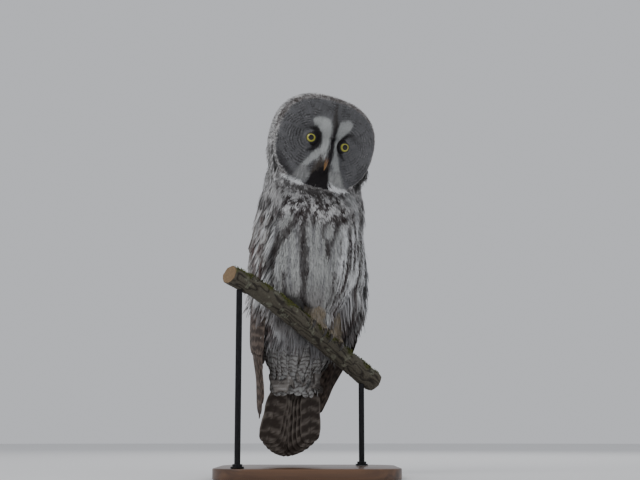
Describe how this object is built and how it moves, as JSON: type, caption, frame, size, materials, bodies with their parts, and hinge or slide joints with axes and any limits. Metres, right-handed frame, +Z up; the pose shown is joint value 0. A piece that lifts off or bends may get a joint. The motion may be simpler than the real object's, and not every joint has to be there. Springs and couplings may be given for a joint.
{
  "type": "great grey owl",
  "caption": "Life-size still model of a large round-headed owl gripping a sloping cut branch, held above a flat base by slim rods.",
  "frame": {"origin": "centre of the underside of the stand's base", "axes": "+Z up; the viewer of the reference view looks along +Y, and the owl faces the viewer, turned a little towards +X"},
  "size_m": [0.31, 0.3021, 0.6774],
  "materials": {
    "face_feathers": "fine grey face feathers with thin dark rings about each eye and white brows",
    "body_feathers": "soft pale grey body feathers, barred and streaked with dark brown",
    "flight_feathers": "smooth grey-brown flight and tail feathers with pale mottled bars",
    "leg_feathers": "short soft cream-grey feathers over legs and toes",
    "eyes": "clear wet gloss over a yellow iris and a black pupil",
    "bill": "smooth horn, yellow at the tip and reddish brown at the root",
    "claws": "smooth dark horn",
    "bark": "rough furrowed bark with patches of moss",
    "stand_wood": "satin dark wood",
    "stand_metal": "satin black metal"
  },
  "bodies": {
    "root": {"head": "face_feathers", "neck": "body_feathers", "torso": "body_feathers", "eye_right": "eyes", "eye_left": "eyes", "bill_upper": "bill", "bill_lower": "bill", "wing_right": "flight_feathers", "wing_left": "flight_feathers", "tail": "flight_feathers", "leg_right": "leg_feathers", "leg_left": "leg_feathers", "foot_right": "leg_feathers", "foot_left": "leg_feathers", "claw_right_front_inner": "claws", "claw_right_front_outer": "claws", "claw_right_rear_inner": "claws", "claw_right_rear_outer": "claws", "claw_left_front_inner": "claws", "claw_left_front_outer": "claws", "claw_left_rear_inner": "claws", "claw_left_rear_outer": "claws", "perch": "bark", "stand_base": "stand_wood", "stand_rod_high": "stand_metal", "stand_rod_low": "stand_metal"}
  },
  "joints": []
}
